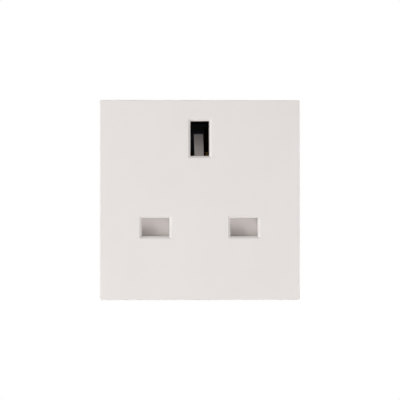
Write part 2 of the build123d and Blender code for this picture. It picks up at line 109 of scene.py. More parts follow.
Piece = bpy.types.Object
Nodes = dict[str, bpy.types.Object]


class Recess(Enum):
    """Driver recess in a screw head, as the arms that are cut for it."""

    SLOT = ("Slot",)
    CROSS = ("Slot", "Cross Slot")


class Lines(Enum):
    """Way that rolling or drawing lines run, as the stretch of the pattern along X, Y and Z."""

    NONE = (1.0, 1.0, 1.0)
    ALONG_Y = (1.0, 1 / LINE_STRETCH, 1.0)
    ALONG_Z = (1.0, 1.0, 1 / LINE_STRETCH)


class Sign(Enum):
    """Generic mark beside a terminal."""

    LINE = "L"
    NEUTRAL = "N"
    EARTH = "earth"


def linear(colour: str) -> tuple[float, float, float, float]:
    """Turn an sRGB hex colour to linear light.

    Args:
        colour: Six hex digits after a hash.

    Returns:
        Red, green, blue and a full alpha.
    """
    levels = [int(colour[start:start + 2], 16) / 255 for start in (1, 3, 5)]
    light = [c / 12.92 if c <= 0.04045 else ((c + 0.055) / 1.055) ** 2.4 for c in levels]
    return light[0], light[1], light[2], 1.0


def add_node(tree: bpy.types.NodeTree, kind: str, settings: dict | None = None,
             links: dict | None = None) -> bpy.types.Node:
    """Add one node with its settings and links.

    Args:
        tree: Tree that gets the node.
        kind: Blender's name of the node type.
        settings: Values by property name, or by the name or number of an input socket.
        links: Source sockets by the name or number of an input socket.

    Returns:
        The new node.
    """
    node = tree.nodes.new(kind)
    for key, value in (settings or {}).items():
        if isinstance(key, str) and hasattr(node, key):
            setattr(node, key, value)
        else:
            node.inputs[key].default_value = value
    for key, source in (links or {}).items():
        tree.links.new(source, node.inputs[key])
    return node


def new_material(name: str) -> tuple[bpy.types.Material, bpy.types.NodeTree, bpy.types.Node]:
    """Start a node material.

    Args:
        name: Common name of the real material.

    Returns:
        The material, its tree and its Principled shader.
    """
    material = bpy.data.materials.new(name)
    material.use_nodes = True
    tree = material.node_tree
    tree.nodes.clear()
    shader = add_node(tree, "ShaderNodeBsdfPrincipled")
    add_node(tree, "ShaderNodeOutputMaterial", links={"Surface": shader.outputs[0]})
    return material, tree, shader


@dataclass(frozen=True)
class MouldedPlastic:
    """Injection-moulded polymer off a spark-eroded tool, coloured all through."""

    name: str
    colour: str
    shade: str
    ior: float
    smooth: float
    rough: float
    grain_mm: float
    grain_height_mm: float
    cloud_mm: float
    edge_mm: float

    def material(self) -> bpy.types.Material:
        """Build the material.

        Returns:
            A satin material whose fine grain breaks up its highlights.
        """
        material, tree, shader = new_material(self.name)
        place = add_node(tree, "ShaderNodeTexCoord").outputs["Object"]
        # The grain of a spark-eroded tool is a few hundredths of a millimetre and is drawn coarser to show.
        grain = add_node(tree, "ShaderNodeTexNoise",
                         {"Scale": 1 / (self.grain_mm * MM), "Detail": GRAIN_DETAIL}, {"Vector": place})
        # Slow clouds stand for the uneven flow of pigment and melt.
        cloud = add_node(tree, "ShaderNodeTexNoise",
                         {"Scale": 1 / (self.cloud_mm * MM), "Detail": FLOW_DETAIL}, {"Vector": place})
        tone = add_node(tree, "ShaderNodeMix",
                        {"data_type": "RGBA", MIX_FIRST: linear(self.shade),
                         MIX_SECOND: linear(self.colour)},
                        {0: cloud.outputs["Fac"]})
        gloss = add_node(tree, "ShaderNodeMapRange",
                         {"To Min": self.smooth, "To Max": self.rough}, {"Value": grain.outputs["Fac"]})
        # A tool's edges are never quite sharp, so each edge of the moulding catches a thin light.
        edge = add_node(tree, "ShaderNodeBevel", {"samples": BEVEL_SAMPLES, "Radius": self.edge_mm * MM})
        relief = add_node(tree, "ShaderNodeBump",
                          {"Strength": 1.0, "Distance": self.grain_height_mm * MM},
                          {"Height": grain.outputs["Fac"], "Normal": edge.outputs[0]})
        shader.inputs["IOR"].default_value = self.ior
        tree.links.new(tone.outputs[MIX_RESULT], shader.inputs["Base Color"])
        tree.links.new(gloss.outputs[0], shader.inputs["Roughness"])
        tree.links.new(relief.outputs[0], shader.inputs["Normal"])
        return material


@dataclass(frozen=True)
class WorkedMetal:
    """Rolled, drawn, turned or plated metal, bright with a thin uneven tarnish."""

    name: str
    colour: str
    tarnish: str
    smooth: float
    rough: float
    line_mm: float
    line_height_mm: float
    lines: Lines
    cloud_mm: float

    def material(self) -> bpy.types.Material:
        """Build the material.

        Returns:
            A metal whose tool lines stretch its highlights and whose tarnish dulls it in patches.
        """
        material, tree, shader = new_material(self.name)
        place = add_node(tree, "ShaderNodeTexCoord").outputs["Object"]
        drawn = add_node(tree, "ShaderNodeMapping", {"Scale": self.lines.value}, {"Vector": place})
        line = add_node(tree, "ShaderNodeTexNoise",
                        {"Scale": 1 / (self.line_mm * MM), "Detail": LINE_DETAIL},
                        {"Vector": drawn.outputs[0]})
        cloud = add_node(tree, "ShaderNodeTexNoise",
                         {"Scale": 1 / (self.cloud_mm * MM), "Detail": TARNISH_DETAIL}, {"Vector": place})
        tone = add_node(tree, "ShaderNodeMix",
                        {"data_type": "RGBA", MIX_FIRST: linear(self.tarnish),
                         MIX_SECOND: linear(self.colour)},
                        {0: cloud.outputs["Fac"]})
        gloss = add_node(tree, "ShaderNodeMapRange",
                         {"To Min": self.rough, "To Max": self.smooth}, {"Value": cloud.outputs["Fac"]})
        relief = add_node(tree, "ShaderNodeBump",
                          {"Strength": 1.0, "Distance": self.line_height_mm * MM},
                          {"Height": line.outputs["Fac"]})
        shader.inputs["Metallic"].default_value = 1.0
        tree.links.new(tone.outputs[MIX_RESULT], shader.inputs["Base Color"])
        tree.links.new(gloss.outputs[0], shader.inputs["Roughness"])
        tree.links.new(relief.outputs[0], shader.inputs["Normal"])
        return material


# White polycarbonate gives a warm, even white with a soft sheen and no mirror highlight.
WHITE_POLYCARBONATE = MouldedPlastic(
    "white_polycarbonate", "#E9E4E1", "#E4DFDC", ior=1.585, smooth=0.42, rough=0.58,
    grain_mm=0.18, grain_height_mm=0.004, cloud_mm=14.0, edge_mm=0.12)
# Glass-filled nylon is a deep grey-black with a dry, slightly mottled skin.
BLACK_NYLON = MouldedPlastic(
    "black_nylon", "#1F1F20", "#161617", ior=1.53, smooth=0.38, rough=0.62,
    grain_mm=0.25, grain_height_mm=0.012, cloud_mm=6.0, edge_mm=0.18)
# Rolled brass strip shows fine straight lines and a warm yellow that browns where it was handled.
ROLLED_BRASS = WorkedMetal(
    "rolled_brass", "#DFC384", "#C0A062", smooth=0.22, rough=0.38, line_mm=0.12,
    line_height_mm=0.004, lines=Lines.ALONG_Y, cloud_mm=3.0)
# Drawn and turned brass bar is brighter, with short tool lines.
TURNED_BRASS = WorkedMetal(
    "turned_brass", "#E5CB8F", "#CBAA6C", smooth=0.18, rough=0.3, line_mm=0.1,
    line_height_mm=0.004, lines=Lines.ALONG_Z, cloud_mm=2.0)
# Zinc plating over steel is a cool bright grey with a faint frosty mottle.
ZINC_PLATED_STEEL = WorkedMetal(
    "zinc_plated_steel", "#C3C8CC", "#A4A9AE", smooth=0.24, rough=0.42, line_mm=0.2,
    line_height_mm=0.006, lines=Lines.NONE, cloud_mm=0.9)
# Blued spring strip is nearly black, with a faint cold sheen along its rolling lines; the near-black is
# partly the blued finish and partly painted shade, so the springs deep in the apertures read as dark as
# shade.
BLUED_STEEL_AND_PAINTED_SHADE = WorkedMetal(
    "blued_steel_and_painted_shade", "#484B52", "#33353A", smooth=0.34, rough=0.5, line_mm=0.1,
    line_height_mm=0.003, lines=Lines.ALONG_Y, cloud_mm=1.5)
# Drawn spring wire is a mid grey with lines along the wire.
SPRING_STEEL = WorkedMetal(
    "spring_steel", "#9EA1A3", "#7C7F82", smooth=0.24, rough=0.4, line_mm=0.1,
    line_height_mm=0.003, lines=Lines.ALONG_Y, cloud_mm=1.5)


@dataclass
class Palette:
    """Every finish as a material, made once and shared."""

    made: dict[str, bpy.types.Material] = field(default_factory=dict)

    def get(self, finish: MouldedPlastic | WorkedMetal) -> bpy.types.Material:
        """Give the material of a finish.

        Args:
            finish: One of the module's finishes.

        Returns:
            Its material, built on the first call.
        """
        if finish.name not in self.made:
            self.made[finish.name] = finish.material()
        return self.made[finish.name]


def dress(piece: Piece, material: bpy.types.Material) -> Piece:
    """Put one material on all of a piece.

    Args:
        piece: CAD node or new piece.
        material: Its finish.

    Returns:
        The same piece.
    """
    if not piece.material_slots:
        piece.data.materials.append(material)
    for slot in piece.material_slots:
        slot.material = material
    return piece


def new_piece(name: str, shape: bpy.types.Mesh | bpy.types.Curve) -> Piece:
    """Put a shape into the scene as an object at the origin.

    Args:
        name: Name of the piece.
        shape: Mesh with its place in its points, or a text.

    Returns:
        The object.
    """
    shape.name = name
    piece = bpy.data.objects.new(name, shape)
    bpy.context.scene.collection.objects.link(piece)
    return piece


def plain_mesh(host: Piece) -> bpy.types.Mesh:
    """Turn what an object shows into a plain mesh and remove the object.

    Args:
        host: Object with live modifiers, or a text object.

    Returns:
        The evaluated mesh.
    """
    graph = bpy.context.evaluated_depsgraph_get()
    mesh = bpy.data.meshes.new_from_object(host.evaluated_get(graph), depsgraph=graph)
    bpy.data.objects.remove(host)
    return mesh


def geometry_tree(name: str, inputs: dict[str, str]) -> tuple[bpy.types.NodeTree, bpy.types.Node]:
    """Start a Geometry Nodes tree with named inputs.

    Args:
        name: Name of the tree.
        inputs: Socket types by input name.

    Returns:
        The tree and its input node.
    """
    tree = bpy.data.node_groups.new(name, "GeometryNodeTree")
    tree.interface.new_socket("Geometry", in_out="INPUT", socket_type="NodeSocketGeometry")
    for label, kind in inputs.items():
        tree.interface.new_socket(label, in_out="INPUT", socket_type=kind)
    tree.interface.new_socket("Geometry", in_out="OUTPUT", socket_type="NodeSocketGeometry")
    return tree, add_node(tree, "NodeGroupInput")


def end_tree(tree: bpy.types.NodeTree, shape: bpy.types.NodeSocket, material: bpy.types.NodeSocket,
             crease: float) -> None:
    """Close a tree: smooth shading up to an angle, real geometry and a material.

    Args:
        tree: Tree to close.
        shape: Geometry that the tree has made.
        material: Socket that gives the material.
        crease: Angle in radians above which an edge stays sharp.
    """
    angle = add_node(tree, "GeometryNodeInputMeshEdgeAngle")
    sharp = add_node(tree, "FunctionNodeCompare",
                     {"data_type": "FLOAT", "operation": "GREATER_THAN", 1: crease},
                     {0: angle.outputs["Unsigned Angle"]})
    smooth = add_node(tree, "GeometryNodeSetShadeSmooth", {"domain": "FACE", "Shade Smooth": True},
                      {"Geometry": shape})
    creased = add_node(tree, "GeometryNodeSetShadeSmooth", {"domain": "EDGE", "Shade Smooth": False},
                       {"Geometry": smooth.outputs[0], "Selection": sharp.outputs[0]})
    real = add_node(tree, "GeometryNodeRealizeInstances", links={"Geometry": creased.outputs[0]})
    dressed = add_node(tree, "GeometryNodeSetMaterial",
                       links={"Geometry": real.outputs[0], "Material": material})
    add_node(tree, "NodeGroupOutput", links={0: dressed.outputs[0]})


def grow(name: str, tree: bpy.types.NodeTree, points: list[Vector], values: dict[str, Any]) -> Piece:
    """Run a tree on a few points and keep the result as a plain mesh.

    Args:
        name: Name of the piece.
        tree: Geometry Nodes tree.
        points: Points that the tree starts from.
        values: Input values by input name.

    Returns:
        The finished piece.
    """
    mesh = bpy.data.meshes.new(name)
    mesh.from_pydata(points, [], [])
    host = new_piece(name + "_host", mesh)
    modifier = host.modifiers.new(name, "NODES")
    modifier.node_group = tree
    for item in tree.interface.items_tree:
        if item.item_type == "SOCKET" and item.in_out == "INPUT" and item.name in values:
            modifier[item.identifier] = values[item.name]
    return new_piece(name, plain_mesh(host))


def coil_tree() -> bpy.types.NodeTree:
    """Tree of a compression spring along Z whose end turns close up.

    Returns:
        The tree, which puts one spring on each point.
    """
    tree, given = geometry_tree("coil_spring", {
        "Turns": "NodeSocketFloat", "Radius": "NodeSocketFloat", "Wire Radius": "NodeSocketFloat",
        "Length": "NodeSocketFloat", "Closing": "NodeSocketFloat", "Material": "NodeSocketMaterial"})
    sizes = given.outputs
    helix = add_node(tree, "GeometryNodeCurveSpiral", {"Resolution": COIL_STEPS},
                     {"Rotations": sizes["Turns"], "Start Radius": sizes["Radius"],
                      "End Radius": sizes["Radius"], "Height": sizes["Length"]})
    place = add_node(tree, "GeometryNodeInputPosition")
    axes = add_node(tree, "ShaderNodeSeparateXYZ", links={0: place.outputs[0]})
    share = add_node(tree, "ShaderNodeMath", {"operation": "DIVIDE"},
                     {0: axes.outputs["Z"], 1: sizes["Length"]})
    swing = add_node(tree, "ShaderNodeMath", {"operation": "MULTIPLY", 1: 2 * math.pi},
                     {0: share.outputs[0]})
    wave = add_node(tree, "ShaderNodeMath", {"operation": "SINE"}, {0: swing.outputs[0]})
    reach = add_node(tree, "ShaderNodeMath", {"operation": "MULTIPLY"},
                     {0: sizes["Length"], 1: sizes["Closing"]})
    pull = add_node(tree, "ShaderNodeMath", {"operation": "MULTIPLY"},
                    {0: wave.outputs[0], 1: reach.outputs[0]})
    back = add_node(tree, "ShaderNodeMath", {"operation": "DIVIDE", 1: -2 * math.pi}, {0: pull.outputs[0]})
    shift = add_node(tree, "ShaderNodeCombineXYZ", links={"Z": back.outputs[0]})
    closed = add_node(tree, "GeometryNodeSetPosition",
                      links={"Geometry": helix.outputs[0], "Offset": shift.outputs[0]})
    wire = add_node(tree, "GeometryNodeCurvePrimitiveCircle", {"Resolution": WIRE_SIDES},
                    {"Radius": sizes["Wire Radius"]})
    body = add_node(tree, "GeometryNodeCurveToMesh", {"Fill Caps": True},
                    {"Curve": closed.outputs[0], "Profile Curve": wire.outputs[0]})
    spots = add_node(tree, "GeometryNodeInstanceOnPoints",
                     links={"Points": sizes["Geometry"], "Instance": body.outputs[0]})
    end_tree(tree, spots.outputs[0], sizes["Material"], math.radians(COIL_CREASE_DEG))
    return tree


def rolled_sheet(tree: bpy.types.NodeTree, rows: int, axes: bpy.types.bpy_prop_collection,
                 radius: bpy.types.NodeSocket, height: bpy.types.NodeSocket) -> bpy.types.NodeSocket:
    """Roll a unit sheet into a tube about the Z axis.

    Args:
        tree: Tree that gets the nodes.
        rows: Rows of points from one end of the tube to the other.
        axes: Place of a point on the flat sheet, by axis, from -0.5 to 0.5.
        radius: Radius of the tube at that point.
        height: Height of the tube at that point.

    Returns:
        The tube, which the sheet's X runs round and its Y runs along.
    """
    sheet = add_node(tree, "GeometryNodeMeshGrid",
                     {"Size X": 1.0, "Size Y": 1.0, "Vertices X": SCREW_SEGMENTS + 1, "Vertices Y": rows})
    angle = add_node(tree, "ShaderNodeMath", {"operation": "MULTIPLY", 1: 2 * math.pi}, {0: axes["X"]})
    upright = add_node(tree, "ShaderNodeCombineXYZ", links={"X": radius, "Z": height})
    turned = add_node(tree, "ShaderNodeVectorRotate", {"rotation_type": "Z_AXIS"},
                      {"Vector": upright.outputs[0], "Angle": angle.outputs[0]})
    tube = add_node(tree, "GeometryNodeSetPosition",
                    links={"Geometry": sheet.outputs[0], "Position": turned.outputs[0]})
    return tube.outputs[0]


def threaded_shank(tree: bpy.types.NodeTree, sizes: bpy.types.bpy_prop_collection,
                   axes: bpy.types.bpy_prop_collection) -> bpy.types.NodeSocket:
    """Make the shank: a tube whose radius is a saw wave that climbs one pitch in a turn.

    Args:
        tree: Tree that gets the nodes.
        sizes: Inputs of the tree.
        axes: Place of a point on the flat sheet, by axis.

    Returns:
        The shank, open at its tip and at its neck.
    """
    along = add_node(tree, "ShaderNodeMapRange",
                     {"From Min": -SHEET_HALF, "From Max": SHEET_HALF, "To Min": 0.0},
                     {"Value": axes["Y"], "To Max": sizes["Length"]})
    turns = add_node(tree, "ShaderNodeMath", {"operation": "DIVIDE"},
                     {0: along.outputs[0], 1: sizes["Pitch"]})
    phase = add_node(tree, "ShaderNodeMath", {"operation": "SUBTRACT"}, {0: turns.outputs[0], 1: axes["X"]})
    # Within a turn the saw rises to a half and falls again, so twice its height is one thread depth.
    saw = add_node(tree, "ShaderNodeMath", {"operation": "PINGPONG", 1: 0.5}, {0: phase.outputs[0]})
    sunk = add_node(tree, "ShaderNodeMath", {"operation": "MULTIPLY", 1: -2.0}, {0: saw.outputs[0]})
    flank = add_node(tree, "ShaderNodeMath", {"operation": "MULTIPLY_ADD"},
                     {0: sunk.outputs[0], 1: sizes["Thread Depth"], 2: sizes["Radius"]})
    point = add_node(tree, "ShaderNodeMath", {"operation": "MULTIPLY_ADD"},
                     {0: along.outputs[0], 1: sizes["Tip Slope"], 2: sizes["Tip Radius"]})
    radius = add_node(tree, "ShaderNodeMath", {"operation": "MINIMUM"},
                      {0: flank.outputs[0], 1: point.outputs[0]})
    # The thread runs out at the neck, so that the shank meets the head in one ring.
    last = add_node(tree, "FunctionNodeCompare",
                    {"data_type": "FLOAT", "operation": "GREATER_THAN", 1: SHEET_LAST}, {0: axes["Y"]})
    ended = add_node(tree, "GeometryNodeSwitch", {"input_type": "FLOAT"},
                     {"Switch": last.outputs[0], "False": radius.outputs[0], "True": sizes["Neck Radius"]})
    return rolled_sheet(tree, SHANK_ROWS, axes, ended.outputs[0], along.outputs[0])


def domed_head(tree: bpy.types.NodeTree, sizes: bpy.types.bpy_prop_collection,
               axes: bpy.types.bpy_prop_collection) -> bpy.types.NodeSocket:
    """Make the head: a flat underside, then a quarter of a rounded square turned about the axis.

    Args:
        tree: Tree that gets the nodes.
        sizes: Inputs of the tree.
        axes: Place of a point on the flat sheet, by axis.

    Returns:
        The head, open at its neck.
    """
    arc = add_node(tree, "ShaderNodeMapRange",
                   {"From Min": 1 / (HEAD_ROWS - 1) - SHEET_HALF, "From Max": SHEET_HALF, "To Min": 0.0,
                    "To Max": math.pi / 2}, {"Value": axes["Y"]})
    near = add_node(tree, "ShaderNodeMath", {"operation": "COSINE", "use_clamp": True}, {0: arc.outputs[0]})
    rise = add_node(tree, "ShaderNodeMath", {"operation": "SINE", "use_clamp": True}, {0: arc.outputs[0]})
    wide = add_node(tree, "ShaderNodeMath", {"operation": "POWER"},
                    {0: near.outputs[0], 1: sizes["Head Roundness"]})
    high = add_node(tree, "ShaderNodeMath", {"operation": "POWER"},
                    {0: rise.outputs[0], 1: sizes["Head Roundness"]})
    dome = add_node(tree, "ShaderNodeMath", {"operation": "MULTIPLY"},
                    {0: wide.outputs[0], 1: sizes["Head Radius"]})
    height = add_node(tree, "ShaderNodeMath", {"operation": "MULTIPLY_ADD"},
                      {0: high.outputs[0], 1: sizes["Head Height"], 2: sizes["Length"]})
    first = add_node(tree, "FunctionNodeCompare",
                     {"data_type": "FLOAT", "operation": "LESS_THAN", 1: -SHEET_LAST}, {0: axes["Y"]})
    radius = add_node(tree, "GeometryNodeSwitch", {"input_type": "FLOAT"},
                      {"Switch": first.outputs[0], "False": dome.outputs[0], "True": sizes["Neck Radius"]})
    return rolled_sheet(tree, HEAD_ROWS, axes, radius.outputs[0], height.outputs[0])


def screw_tree(recess: Recess) -> bpy.types.NodeTree:
    """Tree of a threaded screw with a domed head, one on each point, its head towards +Y.

    Args:
        recess: Driver recess that is cut into the head.

    Returns:
        The tree, whose screws are closed skins.
    """
    names = ("Length", "Radius", "Pitch", "Thread Depth", "Tip Radius", "Tip Slope", "Neck Radius",
             "Head Radius", "Head Height", "Head Roundness", "Turn")
    tree, given = geometry_tree(recess.name.lower() + "_screw", {
        **dict.fromkeys(names, "NodeSocketFloat"), **dict.fromkeys(recess.value, "NodeSocketVector"),
        "Material": "NodeSocketMaterial"})
    sizes = given.outputs
    place = add_node(tree, "GeometryNodeInputPosition")
    axes = add_node(tree, "ShaderNodeSeparateXYZ", links={0: place.outputs[0]}).outputs
    disc = add_node(tree, "GeometryNodeMeshCircle", {"fill_type": "NGON", "Vertices": SCREW_SEGMENTS},
                    {"Radius": sizes["Tip Radius"]})
    tip = add_node(tree, "GeometryNodeFlipFaces", links={"Mesh": disc.outputs[0]})
    parts = add_node(tree, "GeometryNodeJoinGeometry", links={0: tip.outputs[0]})
    tree.links.new(threaded_shank(tree, sizes, axes), parts.inputs[0])
    tree.links.new(domed_head(tree, sizes, axes), parts.inputs[0])
    skin = add_node(tree, "GeometryNodeMergeByDistance", {"Distance": MERGE}, {"Geometry": parts.outputs[0]})
    top = add_node(tree, "ShaderNodeMath", {"operation": "ADD"},
                   {0: sizes["Length"], 1: sizes["Head Height"]})
    top_at = add_node(tree, "ShaderNodeCombineXYZ", links={"Z": top.outputs[0]})
    for arm in recess.value:
        block = add_node(tree, "GeometryNodeMeshCube", links={"Size": sizes[arm]})
        cutter = add_node(tree, "GeometryNodeTransform",
                          links={"Geometry": block.outputs[0], "Translation": top_at.outputs[0]})
        skin = add_node(tree, "GeometryNodeMeshBoolean", {"operation": "DIFFERENCE", "solver": "EXACT"},
                        {"Mesh 1": skin.outputs[0], "Mesh 2": cutter.outputs[0]})
    turned = add_node(tree, "ShaderNodeCombineXYZ", {"X": -math.pi / 2}, {"Y": sizes["Turn"]})
    spots = add_node(tree, "GeometryNodeInstanceOnPoints",
                     links={"Points": sizes["Geometry"], "Instance": skin.outputs[0],
                            "Rotation": turned.outputs[0]})
    end_tree(tree, spots.outputs[0], sizes["Material"], math.radians(SCREW_CREASE_DEG))
    return tree


@dataclass
class Screw:
    """Sizes of one kind of screw, in millimetres."""

    recess: Recess
    radius: float
    pitch: float
    thread_depth: float
    tip_radius: float
    tip_slope: float
    head_radius: float
    head_height: float
    head_roundness: float
    recess_width: float
    recess_span: float
    recess_depth: float

    def build(self, name: str, tree: bpy.types.NodeTree, tips: list[Vector], top: float, turn: float,
              material: bpy.types.Material) -> Piece:
        """Build screws of this kind with their tips at given points.

        Args:
            name: Name of the piece.
            tree: Screw tree with this kind's recess.
            tips: Points of the tips, in metres.
            top: Place of the head's top along Y, in metres.
            turn: Angle of the recess about the screw's axis, in degrees.
            material: Finish of the screws.

        Returns:
            One piece with all the screws.
        """
        length = top - tips[0].y - self.head_height * MM
        deep = 2 * self.recess_depth * MM
        values = {
            "Length": length, "Radius": self.radius * MM, "Pitch": self.pitch * MM,
            "Thread Depth": self.thread_depth * MM, "Tip Radius": self.tip_radius * MM,
            "Tip Slope": self.tip_slope, "Head Radius": self.head_radius * MM,
            "Head Height": self.head_height * MM, "Head Roundness": self.head_roundness,
            "Neck Radius": (self.radius - self.thread_depth) * MM,
            "Slot": (self.recess_span * MM, self.recess_width * MM, deep),
            "Cross Slot": (self.recess_width * MM, self.recess_span * MM, deep),
            "Turn": math.radians(turn), "Material": material}
        return grow(name, tree, tips, values)


@dataclass
class FrontPlate:
    """White face, flange, skirt and snap tongues, one moulding that the frame gives whole."""

    node: str = "front_plate"

    def build(self, nodes: Nodes, palette: Palette) -> list[Piece]:
        """Dress the plate.

        Args:
            nodes: CAD nodes by name.
            palette: Shared materials.

        Returns:
            The pieces of this sub-assembly.
        """
        return [dress(nodes[self.node], palette.get(WHITE_POLYCARBONATE))]


@dataclass
class ShutterSet:
    """Sliding shutter and the coil spring that lifts it; travel in metres, which is not used, and sizes in
    millimetres.
    """

    travel: float
    turns: float = 9.5
    wire: float = 0.4
    outer_radius: float = 1.5
    closing: float = 0.78

    def build(self, nodes: Nodes, palette: Palette) -> list[Piece]:
        """Dress the shutter and wind its spring.

        Args:
            nodes: CAD nodes by name.
            palette: Shared materials.

        Returns:
            The pieces of this sub-assembly.
        """
        shutter = dress(nodes["shutter"], palette.get(WHITE_POLYCARBONATE))
        return [shutter, self.spring(palette.get(SPRING_STEEL))]

    def spring(self, material: bpy.types.Material) -> Piece:
        """Wind the spring between its seat in the plate and its seat in the shutter.

        Args:
            material: Finish of the wire.

        Returns:
            The spring, wound at its rest length.
        """
        low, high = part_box("shutter_spring")
        half_wire = self.wire / 2 * MM
        foot = Vector(((low.x + high.x) / 2, (low.y + high.y) / 2, low.z + half_wire))
        length = high.z - low.z - 2 * half_wire
        values = {
            "Turns": self.turns, "Radius": (self.outer_radius - self.wire / 2) * MM,
            "Wire Radius": half_wire, "Length": length, "Closing": self.closing, "Material": material}
        piece = grow("coil_spring", coil_tree(), [foot], values)
        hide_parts("shutter_spring")
        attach(piece, MODULE_BODY)
        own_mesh(piece)
        return piece


@dataclass
class ContactSet:
    """Cover plate, folded brass contacts and the steel springs that press on them."""

    contacts: tuple[str, ...] = ("line_contact", "neutral_contact", "earth_contact")
    springs: tuple[str, ...] = ("line_grip_spring", "neutral_grip_spring", "earth_grip_spring")
    cover: str = "contact_cover"

    def build(self, nodes: Nodes, palette: Palette) -> list[Piece]:
        """Dress the cover, the contacts and their springs.

        Args:
            nodes: CAD nodes by name.
            palette: Shared materials.

        Returns:
            The pieces of this sub-assembly.
        """
        pieces = [dress(nodes[self.cover], palette.get(BLACK_NYLON))]
        pieces += [dress(nodes[name], palette.get(ROLLED_BRASS)) for name in self.contacts]
        # The springs' near-black colour is partly the blued finish and partly painted shade for the deep
        # apertures.
        pieces += [dress(nodes[name], palette.get(BLUED_STEEL_AND_PAINTED_SHADE)) for name in self.springs]
        return pieces


@dataclass
class TerminalSet:
    """Brass pillars and their slotted clamping screws."""

    turns: dict[str, float] = field(default_factory=lambda: {"line": 12.0, "neutral": -31.0, "earth": 58.0})
    screw: Screw = field(default_factory=lambda: Screw(
        Recess.SLOT, radius=1.75, pitch=0.6, thread_depth=0.32, tip_radius=1.35, tip_slope=1.0,
        head_radius=2.8, head_height=1.8, head_roundness=0.22, recess_width=0.9, recess_span=6.0,
        recess_depth=0.9))

    def build(self, nodes: Nodes, palette: Palette) -> list[Piece]:
        """Dress the pillars and make their screws.

        Args:
            nodes: CAD nodes by name.
            palette: Shared materials.

        Returns:
            The pieces of this sub-assembly.
        """
        brass = palette.get(TURNED_BRASS)
        tree = screw_tree(self.screw.recess)
        pieces = []
        for pole, turn in self.turns.items():
            pieces.append(dress(nodes[pole + "_terminal"], brass))
            node = pole + "_terminal_screw"
            low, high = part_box(node)
            tip = Vector(((low.x + high.x) / 2, low.y, (low.z + high.z) / 2))
            screw = self.screw.build(pole + "_clamping_screw", tree, [tip], high.y, turn, brass)
            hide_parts(node)
            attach(screw, pole + "_screw")
            pieces.append(screw)
        return pieces


@dataclass
class RearHousing:
    """Black housing, the screws in its corner wells and its terminal marks; sizes in millimetres."""

    mark_height: float = 3.4
    mark_relief: float = 0.25
    mark_sink: float = 0.05
    mark_y: float = 24.4
    stroke: float = 0.5
    font_factor: float = 1.35
    bar_shares: tuple[float, ...] = (1.0, 0.62, 0.26)
    screw_turn_deg: float = 21.0
    screw: Screw = field(default_factory=lambda: Screw(
        Recess.CROSS, radius=1.45, pitch=1.3, thread_depth=0.42, tip_radius=0.15, tip_slope=0.75,
        head_radius=2.4, head_height=1.6, head_roundness=0.5, recess_width=0.75, recess_span=2.7,
        recess_depth=0.95))

    def build(self, nodes: Nodes, palette: Palette) -> list[Piece]:
        """Dress the housing, make its screws and raise its marks.

        Args:
            nodes: CAD nodes by name.
            palette: Shared materials.

        Returns:
            The pieces of this sub-assembly.
        """
        black = palette.get(BLACK_NYLON)
        housing = dress(nodes["rear_housing"], black)
        pieces = [housing, self.corner_screws(palette.get(ZINC_PLATED_STEEL))]
        for sign, pole in ((Sign.LINE, "line"), (Sign.NEUTRAL, "neutral"), (Sign.EARTH, "earth")):
            pieces.append(self.mark(sign, pole, black))
        return pieces

    def corner_screws(self, material: bpy.types.Material) -> Piece:
        """Make the screws that join the housing to the front plate.

        Args:
            material: Finish of the screws.

        Returns:
            One piece with both screws.
        """
        low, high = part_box("housing_screws")
        inset = self.screw.head_radius * MM
        tips = [Vector((low.x + inset, low.y, low.z + inset)),
                Vector((high.x - inset, low.y, high.z - inset))]
        tree = screw_tree(self.screw.recess)
        screws = self.screw.build("corner_screws", tree, tips, high.y, self.screw_turn_deg, material)
        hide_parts("housing_screws")
        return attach(screws, MODULE_BODY)

    def mark(self, sign: Sign, pole: str, material: bpy.types.Material) -> Piece:
        """Raise one terminal mark beside its wire entry.

        Args:
            sign: The mark.
            pole: Name of the pole, as its nodes have it.
            material: Finish of the housing.

        Returns:
            The mark, standing on the housing's wall.
        """
        low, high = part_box(pole + "_terminal")
        wall_low, wall_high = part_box("rear_housing")
        upward = low.z > 0
        level = wall_high.z - self.mark_sink * MM if upward else wall_low.z + self.mark_sink * MM
        mesh = self.earth_mesh() if sign is Sign.EARTH else self.letter_mesh(sign.value)
        turn = Matrix.Rotation(math.pi, 4, "Z") if upward else Matrix.Rotation(math.pi, 4, "Y")
        place = Matrix.Translation(Vector(((low.x + high.x) / 2, self.mark_y * MM, level)))
        mesh.transform(place @ turn)
        piece = dress(new_piece(pole + "_mark", mesh), material)
        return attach(piece, MODULE_BODY)

    def letter_mesh(self, letter: str) -> bpy.types.Mesh:
        """Raise a letter from the XY plane.

        Args:
            letter: One capital letter.

        Returns:
            Its mesh, centred on the Z axis.
        """
        half_deep = (self.mark_relief + self.mark_sink) / 2 * MM
        text = bpy.data.curves.new("letter", "FONT")
        text.body = letter
        text.size = self.font_factor * self.mark_height * MM
        text.extrude = half_deep
        text.align_x = "CENTER"
        text.align_y = "CENTER"
        mesh = plain_mesh(new_piece("letter", text))
        mesh.transform(Matrix.Translation((0, 0, half_deep)))
        return mesh

    def earth_mesh(self) -> bpy.types.Mesh:
        """Raise the earth sign, a stem over three bars that shorten, from the XY plane.

        Returns:
            Its mesh, centred on the Z axis.
        """
        deep = (self.mark_relief + self.mark_sink) * MM
        half = self.mark_height / 2
        bars = [(half / 2, self.stroke, half)]
        for number, share in enumerate(self.bar_shares):
            bars.append((-number * 2 * self.stroke, share * self.mark_height, self.stroke))
        shape = bmesh.new()
        for y, width, height in bars:
            size = Matrix.Diagonal((width * MM, height * MM, deep, 1.0))
            place = Matrix.Translation((0, y * MM, deep / 2))
            bmesh.ops.create_cube(shape, size=1.0, matrix=place @ size)
        mesh = bpy.data.meshes.new("earth_sign")
        shape.to_mesh(mesh)
        shape.free()
        return mesh


